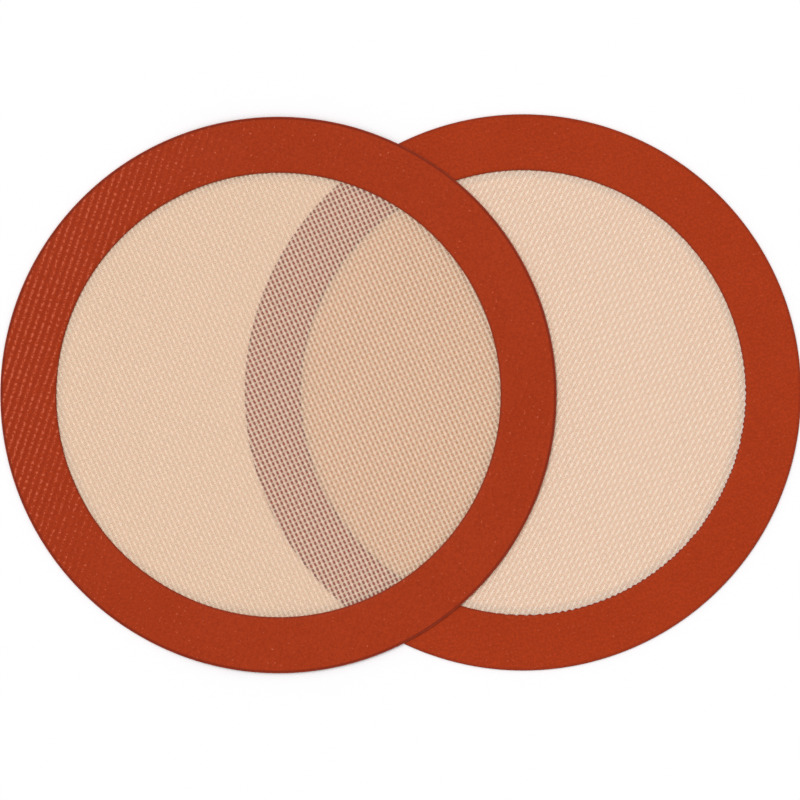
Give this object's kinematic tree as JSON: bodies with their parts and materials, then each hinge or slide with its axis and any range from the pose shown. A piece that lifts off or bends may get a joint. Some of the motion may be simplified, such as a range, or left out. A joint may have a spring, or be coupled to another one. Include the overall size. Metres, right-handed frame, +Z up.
{
  "type": "silicone baking mat",
  "caption": "Thin round baking mats with a translucent woven centre and an opaque silicone border, one lying partly over the other, for lining tins and trays.",
  "frame": {"origin": "on the table, midway between the centres of the two mats", "axes": "+Z up out of the table; +X from the upper mat, on the left, towards the lower mat, on the right"},
  "size_m": [0.3282, 0.229, 0.0015],
  "materials": {
    "glass_cloth": "matte",
    "clear_silicone": "satin",
    "border_silicone": "satin",
    "edge_silicone": "satin"
  },
  "bodies": {
    "lower_mat": {"lower_mat_glass_cloth": "glass_cloth", "lower_mat_bottom_coat": "clear_silicone", "lower_mat_top_coat": "clear_silicone", "lower_mat_bottom_border": "border_silicone", "lower_mat_top_border": "border_silicone", "lower_mat_edge_seal": "edge_silicone"},
    "upper_mat": {"upper_mat_glass_cloth": "glass_cloth", "upper_mat_bottom_coat": "clear_silicone", "upper_mat_top_coat": "clear_silicone", "upper_mat_bottom_border": "border_silicone", "upper_mat_top_border": "border_silicone", "upper_mat_edge_seal": "edge_silicone"}
  },
  "joints": [
    {"name": "upper_mat_lift", "type": "slide", "parent": "lower_mat", "child": "upper_mat", "axis": [0, 0, 1], "range_m": [0, 0.12]}
  ]
}
